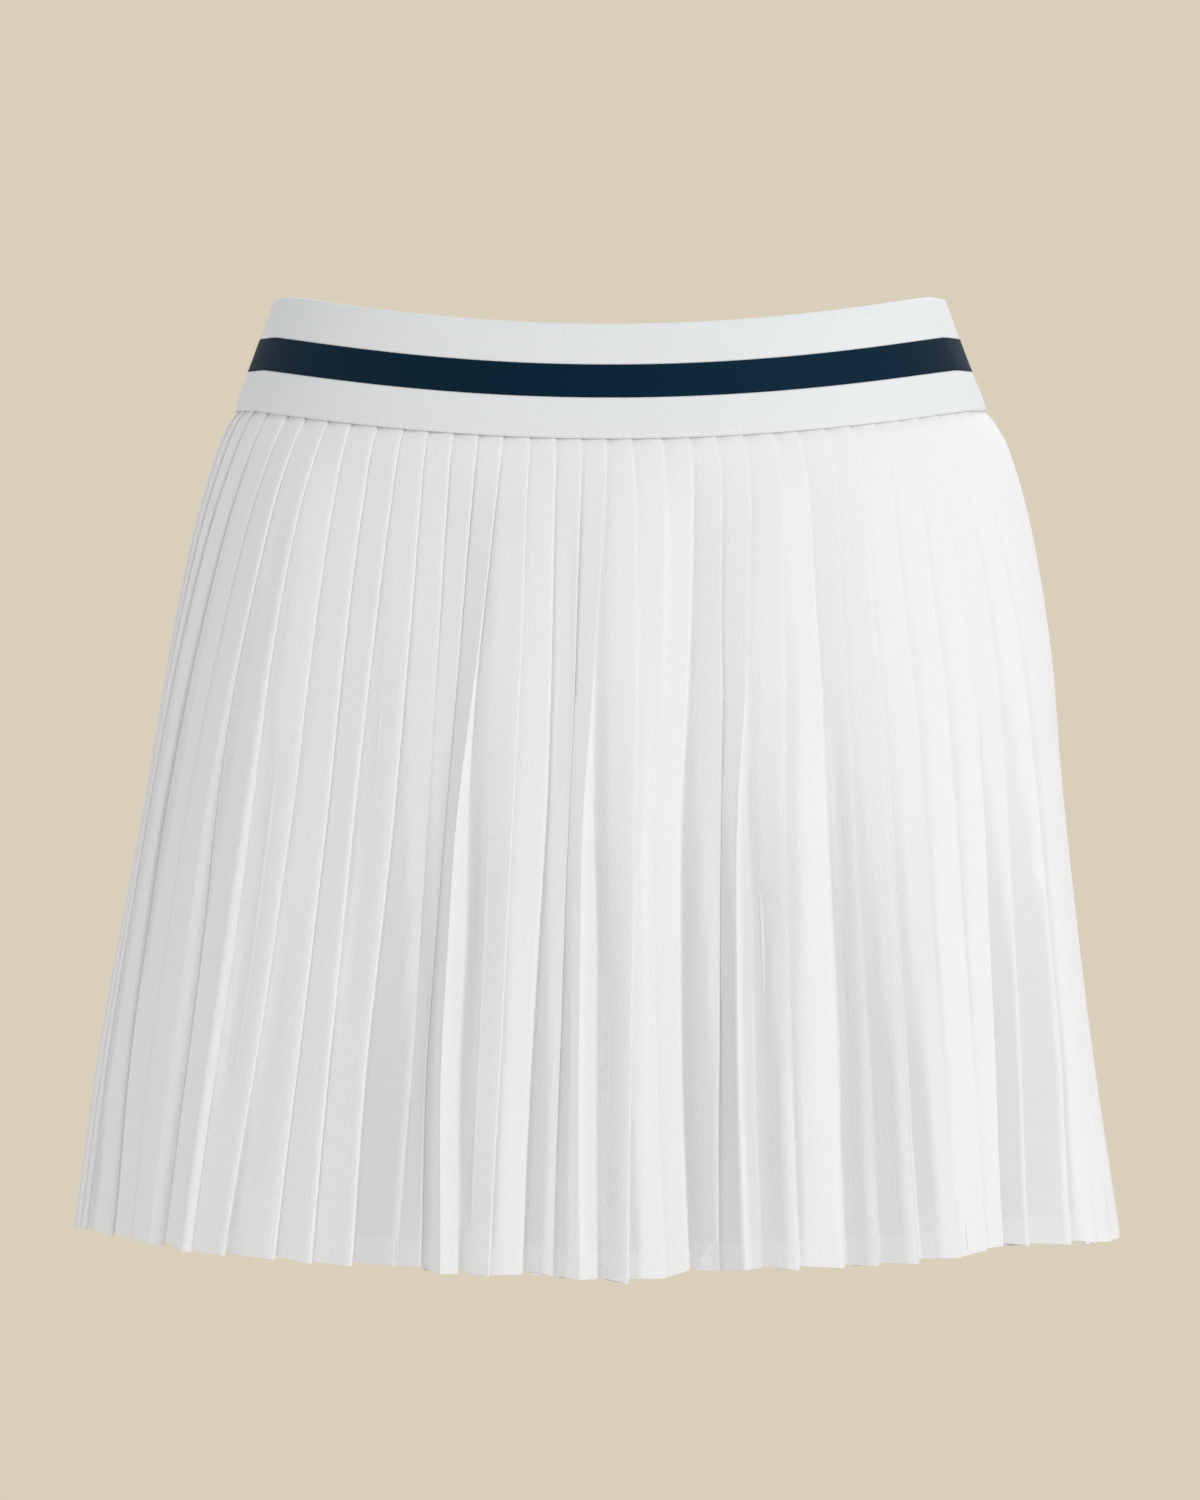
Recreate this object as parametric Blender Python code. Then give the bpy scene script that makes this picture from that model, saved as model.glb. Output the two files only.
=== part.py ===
"""A knife-pleated skort, filled out as if worn, on a wide elastic band with a navy stripe.

Metres, +Z up. The front faces -Y, and the origin is the centre of the waist's top edge, where the wearer
holds the garment. Every size below is in millimetres and is turned to metres as the points are made.

The whole garment follows one oval outline that changes with the drop, the distance below the waist's top
edge at the side. A place on it is a drop, an angle round the body (0 at the centre front, 90 at the wearer's
left side, which is +X) and a distance out of the outline. Cloth pieces are one-layer sheets of such places,
and a Solidify modifier gives them their wall.
"""

import functools
import math
from collections import namedtuple

import bmesh
import bpy

MM = 0.001
SEAM_GAP = 0.3
FACET_SLACK = 0.12  # more room where two faceted pieces curve past each other

# Waistband: one elastic ring with the stripe lying in a shallow groove.
BAND_DEPTH = 46.5
BAND_WALL = 2.0
BAND_SIDES = 72
STRIPE_TOP = 16.4
STRIPE_BOTTOM = 30.0
STRIPE_WALL = 0.8
STRIPE_PROUD = 0.2
GROOVE = STRIPE_WALL + SEAM_GAP - STRIPE_PROUD

# Skirt: two pleated panels, tucked under the band's lower edge.
PLEATS_PER_PANEL = 36
SKIRT_WALL = 1.2
TUCK = 8.5
HEM_DROP = 384.0
PUFF_END = 60.0  # the pleats swell from under the band to the full outline by this drop
STEP_AT_SEAM = 1.2  # how far each fold stands over the start of the next face
STEP_AT_HEM = 2.6
UNDERCUT = 0.4  # how far the next face starts behind the fold
OPENS_FROM = 150.0  # the folds start to spread here, and are as open as the hem at OPENS_TO
OPENS_TO = 290.0
STRIPS_FROM = 165.0
STRIPS_TO = 250.0
STRIP_STEEPNESS = 0.9  # an opened fold drops this much for each millimetre of strip that shows
SEAM_ALLOWANCE = 1.2  # how far the side seam lies from the bottom of its pleat
SKIRT_DROPS = (BAND_DEPTH - TUCK, BAND_DEPTH + 1.5, 62, 95, 145, 195, 243, 290, 338, HEM_DROP)

# Inner shorts: one sheet for each leg, open to the centre seam above the crotch.
SHORTS_WALL = 1.2
SHORTS_SIDES = 20
CROTCH_START = 172.0  # the centre seam starts to turn under the body here
CROTCH_DROP = 236.0

# The outline, a row for each level: its drop, half its width and half its depth, how far its centre leans
# to +X and to the back, and how much lower the centre front and the centre back lie than the sides.
Level = namedtuple("Level", "drop half_width half_depth lean back front_dip back_dip")
OUTLINE = (
    Level(0, 137.5, 88, 0.0, 0, 15.0, 8),
    Level(25, 146.5, 94, 0.0, 0, 15.0, 8),
    Level(48, 155.5, 100, 0.5, 0, 15.0, 8),
    Level(62, 161.5, 104, 1.5, 0, 15.0, 8),
    Level(95, 170.0, 112, 1.0, 1, 14.5, 7),
    Level(145, 179.0, 122, 0.0, 2, 14.0, 7),
    Level(194, 185.0, 130, -2.0, 3, 13.5, 6),
    Level(243, 192.0, 138, -4.0, 4, 13.0, 5),
    Level(308, 202.0, 149, -6.0, 5, 12.5, 4),
    Level(HEM_DROP, 213.0, 160, -5.5, 5, 12.0, 4),
)

# The pleats of a panel that fall unevenly, a row for each, counted from the panel's start: how far its fold
# has moved along the hem, how far it sways besides half-way down, how far it stands out of the outline at
# the hem, and how wide a strip of its turned-back side shows. Pleats that aren't listed hang evenly.
Pleat = namedtuple("Pleat", "number shift sway out strip")
FRONT_PLEATS = (
    Pleat(1, -2, 0, 0, 0),
    Pleat(2, -5, 0, 0, 0),
    Pleat(3, -8, 0, 1, 0),
    Pleat(4, -12, 1, 1, 0),
    Pleat(5, -10, 2, 0, 0),
    Pleat(6, -2, 0, -1, 0),
    Pleat(7, -3, 2, 4, 3),
    Pleat(8, 2, 6, 1, 0),
    Pleat(9, 10, 4, 0, 0),
    Pleat(10, 11, 0, 1, 0),
    Pleat(11, 14, 2, 1, 0),
    Pleat(12, 19, 2, 1, 0),
    Pleat(13, 9, 0, -4, 0),
    Pleat(14, 3, -4, 7, 4.5),
    Pleat(15, 6, 3, 5, 0),
    Pleat(16, 4, 5, -1, 0),
    Pleat(17, 0, 1, -3, 0),
    Pleat(18, -6, -2, 7, 4.5),
    Pleat(19, -4, 2, 5, 0),
    Pleat(20, -6, 0, 2, 0),
    Pleat(21, -12, -3, -3, 0),
    Pleat(22, -16, 2, -4, 0),
    Pleat(23, -22, 0, 8, 8),
    Pleat(24, -18, 2, 4, 0),
    Pleat(25, -16, 4, -1, 0),
    Pleat(26, -16, 2, 0, 0),
    Pleat(27, -15, 2, 1, 0),
    Pleat(28, -11, 1, 3, 0),
    Pleat(29, -13, 5, -1, 0),
    Pleat(30, -18, 5, -3, 0),
    Pleat(31, -17, 4, -2, 0),
    Pleat(32, -12, 2, 5, 3),
    Pleat(33, -11, 2, 1, 0),
    Pleat(34, -5, 0, -1, 0),
    Pleat(35, -3, 0, 0, 0),
)
BACK_PLEATS = (
    Pleat(1, -2, 0, 0, 0),
    Pleat(5, 4, 0, 1, 0),
    Pleat(6, 5, 1, -2, 0),
    Pleat(7, 2, 0, 5, 3.5),
    Pleat(8, 3, 0, 3, 0),
    Pleat(12, -3, 2, -3, 0),
    Pleat(13, -6, 0, 6, 4.5),
    Pleat(14, -4, 0, 3, 0),
    Pleat(15, -1, 1, -1, 0),
    Pleat(19, 5, 2, -4, 0),
    Pleat(20, 2, 0, 6, 5),
    Pleat(21, 4, 0, 4, 0),
    Pleat(22, 2, -2, -1, 0),
    Pleat(26, -4, 0, -3, 0),
    Pleat(27, -7, 1, 6, 4),
    Pleat(28, -5, 0, 2, 0),
    Pleat(32, 3, 0, -2, 0),
    Pleat(33, 1, 0, 4, 3),
)

# The shorts, a row for each level: half the width and half the depth of the body or leg, and the space
# between the two inner legs once they have parted.
ShortsLevel = namedtuple("ShortsLevel", "drop half_width half_depth parting")
SHORTS = (
    ShortsLevel(BAND_DEPTH - TUCK + 2, 146.5, 90.8, 0.0),
    ShortsLevel(62, 152.0, 97, 0.0),
    ShortsLevel(95, 159.5, 105, 0.0),
    ShortsLevel(130, 165.0, 111, 0.0),
    ShortsLevel(CROTCH_START, 167.5, 114, 0.0),
    ShortsLevel(CROTCH_DROP, 168.0, 100, 0.0),
    ShortsLevel(285, 168.0, 92, 8.0),
    ShortsLevel(331, 168.0, 88, 14.0),
)
SHORTS_DROPS = (BAND_DEPTH - TUCK + 2, 62, 95, 135, CROTCH_START, 202, 220, 231, CROTCH_DROP, 260, 296, 331)


def smooth(value, start, end):
    """How far value has gone from start to end, from 0 to 1, easing at both ends."""
    part = min(max((value - start) / (end - start), 0.0), 1.0)
    return part * part * (3.0 - 2.0 * part)


def level_at(table, drop):
    """The table's row for any drop, on a smooth curve through its rows."""
    last = len(table) - 1
    k = next((i for i in range(last) if drop <= table[i + 1].drop), last - 1)
    before, start, end, after = (table[min(max(k + i, 0), last)] for i in (-1, 0, 1, 2))
    span = end.drop - start.drop
    part = (drop - start.drop) / span

    def blend(a, b, c, d):
        slope_b = (c - a) / (end.drop - before.drop) * span
        slope_c = (d - b) / (after.drop - start.drop) * span
        bend = 3 * (c - b) - 2 * slope_b - slope_c
        twist = slope_b + slope_c - 2 * (c - b)
        return b + part * (slope_b + part * (bend + part * twist))

    columns = [blend(*values) for values in zip(before[1:], start[1:], end[1:], after[1:])]
    return type(start)(drop, *columns)


def place(drop, angle, out=0.0):
    """A point in millimetres, at a drop and an angle, and so far out of the outline."""
    level = level_at(OUTLINE, drop)
    across, ahead = math.sin(angle), math.cos(angle)
    normal = (level.half_depth * across, level.half_width * ahead)
    length = math.hypot(*normal)
    dip = level.front_dip if ahead > 0 else level.back_dip
    return (
        level.lean + level.half_width * across + out * normal[0] / length,
        level.back - level.half_depth * ahead - out * normal[1] / length,
        -drop - dip * ahead * ahead,
    )


@functools.lru_cache(maxsize=None)
def half_round(drop, steps=360):
    """The distances walked along the outline at each step from one side, round the front, to the other."""
    level = level_at(OUTLINE, drop)
    walked = [0.0]
    for step in range(steps):
        angle = (step + 0.5) / steps * math.pi - math.pi / 2
        stride = math.hypot(level.half_width * math.cos(angle), level.half_depth * math.sin(angle))
        walked.append(walked[-1] + stride * math.pi / steps)
    return walked


def angle_at(drop, distance):
    """The angle of the place that lies this far along the outline from the side at -90 degrees."""
    walked = half_round(drop)
    steps = len(walked) - 1
    if distance <= 0.0:
        return -math.pi / 2 + distance / walked[1] * math.pi / steps
    if distance >= walked[-1]:
        return math.pi / 2 + (distance - walked[-1]) / walked[1] * math.pi / steps
    k = next(i for i in range(steps) if distance <= walked[i + 1])
    part = (distance - walked[k]) / (walked[k + 1] - walked[k])
    return (k + part) / steps * math.pi - math.pi / 2


def pleat_at(pleats, number):
    """The pleat's row, or an even pleat."""
    return next((row for row in pleats if row.number == number), Pleat(number, 0, 0, 0, 0))


def skirt_inset(drop):
    """How far inside the outline the folds lie: under the band at the top, then swelling out to it."""
    return (BAND_WALL + SEAM_GAP + FACET_SLACK) * (1.0 - smooth(drop, BAND_DEPTH, PUFF_END))


def fold_places(pleats, drop):
    """The places (distance, out) of each fold and of the start of the next face, along one panel."""
    half = half_round(drop)[-1]
    pitch = half / PLEATS_PER_PANEL
    down = max(0.0, (drop - BAND_DEPTH) / (HEM_DROP - BAND_DEPTH))
    travel = 1.0 - (1.0 - down) ** 2.6
    spread = smooth(drop, OPENS_FROM, OPENS_TO)
    opened = smooth(drop, STRIPS_FROM, STRIPS_TO)
    step = STEP_AT_SEAM + (STEP_AT_HEM - STEP_AT_SEAM) * down
    places = [(-UNDERCUT, -step)]
    for number in range(1, PLEATS_PER_PANEL + 1):
        row = pleat_at(pleats, number)
        distance = number * pitch + row.shift * travel + row.sway * 4 * down * (1 - down)
        out = row.out * spread
        strip = row.strip * opened
        behind = strip - UNDERCUT * (1.0 - min(strip, 1.0))
        places.append((distance, out))
        places.append((distance + behind, out - step - strip * STRIP_STEEPNESS))
    return places


def panel_row(pleats, drop, turn):
    """One row of a panel's points, from just inside its first face to just inside the next panel's."""
    places = fold_places(pleats, drop)
    start, fold, end = places[0], places[1], places[-1]
    slope = (fold[1] - start[1]) / (fold[0] - start[0])
    first = SEAM_ALLOWANCE + SEAM_GAP + FACET_SLACK
    places[0] = (start[0] + first, start[1] + first * slope)
    places.append((end[0] + SEAM_ALLOWANCE, end[1] + SEAM_ALLOWANCE * slope))
    inset = skirt_inset(drop)
    return [place(drop, angle_at(drop, distance) + turn, out - inset) for distance, out in places]


def shorts_row(drop, side):
    """One row of a leg's points, from the front of the centre seam, round the outer side, to its back."""
    level = level_at(SHORTS, drop)
    outline = level_at(OUTLINE, drop)
    clear = (SEAM_GAP + FACET_SLACK) / 2
    parted = min(max((drop - CROTCH_START) / (CROTCH_DROP - CROTCH_START), 0.0), 1.0)
    if drop < CROTCH_DROP:
        radius = level.half_width / (1.0 + parted)
        centre = level.half_width - radius
        start = math.acos((centre - clear) / radius)
    else:
        inner = clear + level.parting / 2
        radius = (level.half_width - inner) / 2
        centre = inner + radius
        start = 0.0
    row = []
    for step in range(SHORTS_SIDES + 1):
        angle = start + (2 * math.pi - 2 * start) * step / SHORTS_SIDES
        ahead = math.sin(angle)
        dip = outline.front_dip if ahead > 0 else outline.back_dip
        held = dip * ahead * ahead * (1.0 - parted)
        x = side * (centre - radius * math.cos(angle))
        row.append((x, outline.back / 2 - level.half_depth * ahead, -drop - held))
    return row if side > 0 else row[::-1]


def finish(name, colour, roughness):
    """A plain cloth material."""
    material = bpy.data.materials.new(name)
    material.use_nodes = True
    shader = material.node_tree.nodes["Principled BSDF"]
    shader.inputs["Base Color"].default_value = (*colour, 1.0)
    shader.inputs["Roughness"].default_value = roughness
    shader.inputs["Metallic"].default_value = 0.0
    return material


def sheet_mesh(name, rows, ring=False, closed_section=False):
    """A mesh of faces between neighbouring rows. A ring joins up round the body, a closed section joins its
    last row to its first."""
    bm = bmesh.new()
    grid = [[bm.verts.new([value * MM for value in point]) for point in row] for row in rows]
    pairs = list(zip(grid, grid[1:]))
    if closed_section:
        pairs.append((grid[-1], grid[0]))
    for upper, lower in pairs:
        count = len(upper)
        for i in range(count if ring else count - 1):
            j = (i + 1) % count
            bm.faces.new((upper[i], lower[i], lower[j], upper[j]))
    bmesh.ops.remove_doubles(bm, verts=bm.verts, dist=1e-6)
    mesh = bpy.data.meshes.new(name)
    bm.to_mesh(mesh)
    bm.free()
    return mesh


def add_piece(name, mesh, material, wall=None):
    """A named object, with a wall grown inwards from its sheet where one is given."""
    piece = bpy.data.objects.new(name, mesh)
    bpy.context.scene.collection.objects.link(piece)
    mesh.materials.append(material)
    if wall:
        thickness = piece.modifiers.new("wall", "SOLIDIFY")
        thickness.thickness = wall * MM
        thickness.offset = -1.0
        thickness.use_even_offset = True
    return piece


def ring_piece(name, profile, material):
    """A closed ring round the waist from its section's corners, each a drop and a distance out."""
    rows = [
        [place(drop, 2 * math.pi * k / BAND_SIDES, out) for k in range(BAND_SIDES)] for drop, out in profile
    ]
    return add_piece(name, sheet_mesh(name, rows, ring=True, closed_section=True), material)


def build_waistband():
    """The elastic ring, with a groove all round that the stripe lies in."""
    profile = (
        (0.0, -0.4),
        (0.8, 0.0),
        (STRIPE_TOP - SEAM_GAP, 0.0),
        (STRIPE_TOP - SEAM_GAP, -GROOVE),
        (STRIPE_BOTTOM + SEAM_GAP, -GROOVE),
        (STRIPE_BOTTOM + SEAM_GAP, 0.0),
        (BAND_DEPTH, 0.0),
        (BAND_DEPTH, -BAND_WALL),
        (0.0, -BAND_WALL),
    )
    ring_piece("waistband", profile, finish("white_elastic", (0.80, 0.81, 0.82), 0.8))


def build_stripe():
    """The navy twill tape in the band's groove."""
    inner = STRIPE_PROUD - STRIPE_WALL
    profile = (
        (STRIPE_TOP, STRIPE_PROUD),
        (STRIPE_BOTTOM, STRIPE_PROUD),
        (STRIPE_BOTTOM, inner),
        (STRIPE_TOP, inner),
    )
    ring_piece("waistband_stripe", profile, finish("navy_twill", (0.008, 0.021, 0.050), 0.7))


def build_skirt():
    """The two pleated panels, which meet inside a pleat at each side."""
    panels = (("skirt_front", FRONT_PLEATS, 0.0), ("skirt_back", BACK_PLEATS, math.pi))
    for name, pleats, turn in panels:
        mesh = sheet_mesh(name, [panel_row(pleats, drop, turn) for drop in SKIRT_DROPS])
        add_piece(name, mesh, finish(name + "_poplin", (0.82, 0.83, 0.84), 0.85), SKIRT_WALL)


def build_shorts():
    """The two legs of the inner shorts, which meet on the centre seam."""
    for name, side in (("shorts_left", 1), ("shorts_right", -1)):
        mesh = sheet_mesh(name, [shorts_row(drop, side) for drop in SHORTS_DROPS])
        add_piece(name, mesh, finish(name + "_jersey", (0.78, 0.79, 0.80), 0.9), SHORTS_WALL)


def main():
    for old in list(bpy.data.objects):
        bpy.data.objects.remove(old, do_unlink=True)
    build_waistband()
    build_stripe()
    build_skirt()
    build_shorts()


main()
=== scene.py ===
"""Looks for a knife-pleated skort: white poplin, a wide elastic band with a navy stripe, and jersey shorts.

The garment is filled out as if worn and hangs from the waist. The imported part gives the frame: metres, +Z
up, the front at -Y and the origin at the centre of the waist's top edge. Sizes here are in millimetres, and
a point becomes metres as its vertex is placed. Each cloth piece is a thin shell on its solid's own form, an
oval outline that changes with the drop, the distance below the waist's top edge at the side.
"""

import functools
import logging
import math
from collections.abc import Sequence
from dataclasses import astuple, dataclass, fields
from enum import Enum
from typing import TypeVar

import bmesh
import bpy
import numpy as np
from bmesh.types import BMesh
from bpy.types import ID, Material, Node, NodeSocket, NodeTree, Object
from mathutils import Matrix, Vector


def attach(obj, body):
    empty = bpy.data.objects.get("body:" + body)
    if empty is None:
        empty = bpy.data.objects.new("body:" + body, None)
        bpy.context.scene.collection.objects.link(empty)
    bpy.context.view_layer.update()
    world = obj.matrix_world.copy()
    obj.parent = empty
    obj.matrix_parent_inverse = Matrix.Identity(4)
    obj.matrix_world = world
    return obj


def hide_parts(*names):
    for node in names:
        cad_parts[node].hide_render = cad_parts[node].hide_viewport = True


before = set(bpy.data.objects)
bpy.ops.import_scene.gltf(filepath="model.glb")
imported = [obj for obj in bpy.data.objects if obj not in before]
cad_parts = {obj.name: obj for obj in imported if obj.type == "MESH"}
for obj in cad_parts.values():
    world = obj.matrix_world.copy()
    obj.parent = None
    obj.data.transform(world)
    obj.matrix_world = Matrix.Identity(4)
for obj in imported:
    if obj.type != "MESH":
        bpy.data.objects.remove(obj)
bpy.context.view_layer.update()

LOG = logging.getLogger("skort")
MM = 0.001
BODY = "root"
CLOTH_MAP = "cloth"
SHADE_MASK = "shade_spared"
CRISP_ANGLE = 50.0
TOUCHING = 1e-6
# The Mix node's sockets for colours: two inputs and the output.
MIX_A, MIX_B, MIXED = 6, 7, 2
Row = TypeVar("Row")


# --- Small tools ---


def smooth(value: float | np.ndarray, start: float, end: float) -> float | np.ndarray:
    """How far a value, or each in an array, has gone from start to end, from 0 to 1, eased at both ends."""
    part = np.clip((np.asarray(value, float) - start) / (end - start), 0.0, 1.0)
    return part * part * (3.0 - 2.0 * part)


def linear_colour(code: str) -> tuple[float, float, float, float]:
    """Turns an sRGB hex colour into the linear one that shaders take.

    Args:
        code: The colour, such as "#1f2a3b".

    Returns:
        Red, green, blue and an alpha of 1.
    """
    channels = [int(code[i : i + 2], 16) / 255 for i in (1, 3, 5)]
    linear = [c / 12.92 if c <= 0.04045 else ((c + 0.055) / 1.055) ** 2.4 for c in channels]
    return (*linear, 1.0)


def wave_scale(spacing: float) -> float:
    """The wave texture's scale for bands so many millimetres apart. At scale 1 a metre holds 20 radians."""
    return math.tau / 20 / (spacing * MM)


def add_node(tree: NodeTree, kind: str, settings: dict | None = None, links: dict | None = None) -> Node:
    """Adds a shader node with its settings and its incoming links.

    Args:
        tree: The material's node tree.
        kind: The node's type name.
        settings: Values by input name or number, or by the node's own attribute.
        links: Output sockets by input name or number.

    Returns:
        The new node.
    """
    node = tree.nodes.new(kind)
    for key, value in (settings or {}).items():
        if isinstance(key, int) or key in node.inputs:
            node.inputs[key].default_value = value
        else:
            setattr(node, key, value)
    for key, socket in (links or {}).items():
        tree.links.new(socket, node.inputs[key])
    return node


def plain_material(name: str, colour: str, roughness: float) -> tuple[Material, Node]:
    """Makes a material of one colour and roughness.

    Args:
        name: The material's name.
        colour: Its sRGB colour.
        roughness: Its roughness.

    Returns:
        The material and its shader.
    """
    material = bpy.data.materials.new(name)
    material.use_nodes = True
    shader = material.node_tree.nodes["Principled BSDF"]
    shader.inputs["Base Color"].default_value = linear_colour(colour)
    shader.inputs["Roughness"].default_value = roughness
    return material, shader


def add_object(name: str, data: ID) -> Object:
    """Puts something into the scene, at the origin.

    Args:
        name: Its name.
        data: The mesh, light or camera that it shows.

    Returns:
        The object.
    """
    added = bpy.data.objects.new(name, data)
    bpy.context.scene.collection.objects.link(added)
    return added


def add_mesh(name: str, bm: BMesh) -> Object:
    """Makes an object from a finished bmesh.

    Args:
        name: The object's name.
        bm: The bmesh, which is freed.

    Returns:
        The object.
    """
    mesh = bpy.data.meshes.new(name)
    bm.to_mesh(mesh)
    bm.free()
    return add_object(name, mesh)


# --- The outline that every piece follows ---


@dataclass(frozen=True)
class Level:
    """One level of the outline: its drop, half its width and depth, its centre's lean and set-back, how much
    lower its centre front and centre back lie than its sides, and how far its sides curl over and down."""

    drop: float
    half_width: float
    half_depth: float
    lean: float
    back: float
    front_dip: float
    back_dip: float
    side_dip: float = 0.0


def level_at(table: Sequence[Row], drop: float) -> Row:
    """Reads a table of levels at any drop, on a smooth curve through its rows.

    Args:
        table: Rows of one dataclass whose first field is the drop.
        drop: The drop in millimetres.

    Returns:
        A row of the same kind for that drop.
    """
    last = len(table) - 1
    k = next((i for i in range(last) if drop <= table[i + 1].drop), last - 1)
    before, start, end, after = (np.array(astuple(table[min(max(k + i, 0), last)])) for i in (-1, 0, 1, 2))
    span = end[0] - start[0]
    part = (drop - start[0]) / span
    slope_start = (end - before) / (end[0] - before[0]) * span
    slope_end = (after - start) / (after[0] - start[0]) * span
    bend = 3 * (end - start) - 2 * slope_start - slope_end
    twist = slope_start + slope_end - 2 * (end - start)
    values = start + part * (slope_start + part * (bend + part * twist))
    return type(table[0])(drop, *values[1:])


class Outline:
    """The oval form of the filled-out garment, from the waist's top edge to the hem."""

    LEVELS = (
        Level(0, 137.5, 88, 0.0, 0, 15.0, 8, 1.4),
        Level(25, 146.5, 94, 0.0, 0, 15.0, 8, 1.2),
        Level(48, 155.5, 100, 0.5, 0, 15.0, 8, 0.6),
        Level(62, 162.2, 104, 1.2, 0, 15.0, 8),
        Level(95, 171.8, 112, 1.0, 1, 14.5, 7),
        Level(145, 181.0, 122, 0.0, 2, 14.0, 7),
        Level(194, 187.0, 130, -2.0, 3, 13.5, 6),
        Level(243, 194.0, 138, -4.0, 4, 13.0, 5),
        Level(308, 203.8, 149, -6.0, 5, 12.5, 4),
        Level(384, 214.8, 160, -5.5, 5, 12.0, 4),
    )
    STEPS = 360
    CURL_START = 0.94

    @classmethod
    @functools.lru_cache(maxsize=None)
    def at(cls, drop: float) -> Level:
        """The outline's level at a drop."""
        return level_at(cls.LEVELS, drop)

    @classmethod
    @functools.lru_cache(maxsize=None)
    def walked(cls, drop: float) -> np.ndarray:
        """Walks along the outline in steps, from one side, round the front, to the other.

        Args:
            drop: The drop in millimetres.

        Returns:
            How far along it each step has come, in millimetres.
        """
        level = cls.at(drop)
        angles = (np.arange(cls.STEPS) + 0.5) / cls.STEPS * math.pi - math.pi / 2
        strides = np.hypot(level.half_width * np.cos(angles), level.half_depth * np.sin(angles))
        return np.concatenate([[0.0], np.cumsum(strides * math.pi / cls.STEPS)])

    @classmethod
    def half_round(cls, drop: float) -> float:
        """The length of half the outline in millimetres."""
        return float(cls.walked(drop)[-1])

    @classmethod
    def angles_at(cls, drop: float, distances: np.ndarray) -> np.ndarray:
        """Turns distances along the outline into angles round the body.

        Args:
            drop: The drop in millimetres.
            distances: Millimetres from the side at -90 degrees.

        Returns:
            The angles in radians, 0 at the centre front.
        """
        walked = cls.walked(drop)
        steps = np.interp(distances, walked, np.arange(cls.STEPS + 1))
        steps = np.where(distances < 0, distances / walked[1], steps)
        steps = np.where(distances > walked[-1], cls.STEPS + (distances - walked[-1]) / walked[1], steps)
        return steps / cls.STEPS * math.pi - math.pi / 2

    @classmethod
    def place(
        cls, drop: float, angles: np.ndarray, outs: float | np.ndarray, lifts: float | np.ndarray = 0.0
    ) -> np.ndarray:
        """Points on one level of the garment.

        Args:
            drop: The drop in millimetres.
            angles: Angles round the body in radians.
            outs: How far out of the outline each point stands.
            lifts: How much higher than the level each point lies.

        Returns:
            A row of points in millimetres.
        """
        level = cls.at(drop)
        across, ahead = np.sin(angles), np.cos(angles)
        normal_x, normal_y = level.half_depth * across, level.half_width * ahead
        length = np.hypot(normal_x, normal_y)
        dip = np.where(ahead > 0, level.front_dip, level.back_dip)
        x = level.lean + level.half_width * across + outs * normal_x / length
        y = level.back - level.half_depth * ahead - outs * normal_y / length
        curl = level.side_dip * np.where(ahead > 0, smooth(np.abs(across), cls.CURL_START, 1.0), 1.0)
        return np.stack([x, y, -drop - dip * ahead * ahead - curl + lifts], axis=-1)


# --- Finishes ---


@dataclass(frozen=True)
class ClothFinish:
    """What the finishes share: plain values, and a pattern in metres that tints and raises the surface."""

    name: str
    colour: str
    roughness: float
    relief: float
    relief_depth: float
    sheen: float = 0.0
    sheen_roughness: float = 0.6
    specular: float = 0.3

    def make(self) -> Material:
        """Builds the material.

        Returns:
            The material, with its pattern's height as relief.
        """
        material, shader = plain_material(self.name, self.colour, self.roughness)
        shader.inputs["Specular IOR Level"].default_value = self.specular
        shader.inputs["Sheen Weight"].default_value = self.sheen
        shader.inputs["Sheen Roughness"].default_value = self.sheen_roughness
        tree = material.node_tree
        height = self.pattern(tree, shader, self.place(tree))
        relief = {"Strength": self.relief, "Distance": self.relief_depth * MM}
        bump = add_node(tree, "ShaderNodeBump", relief, {"Height": height})
        tree.links.new(bump.outputs["Normal"], shader.inputs["Normal"])
        return material

    def place(self, tree: NodeTree) -> NodeSocket:
        """The place on the flat cloth, from the piece's own UV map."""
        return add_node(tree, "ShaderNodeUVMap", {"uv_map": CLOTH_MAP}).outputs["UV"]

    def pattern(self, tree: NodeTree, shader: Node, place: NodeSocket) -> NodeSocket:
        """Draws the finish's own pattern.

        Args:
            tree: The material's tree.
            shader: Its shader, which takes the tint.
            place: The place that the pattern is drawn on.

        Returns:
            The pattern's height, from 0 up.
        """
        raise NotImplementedError


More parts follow.
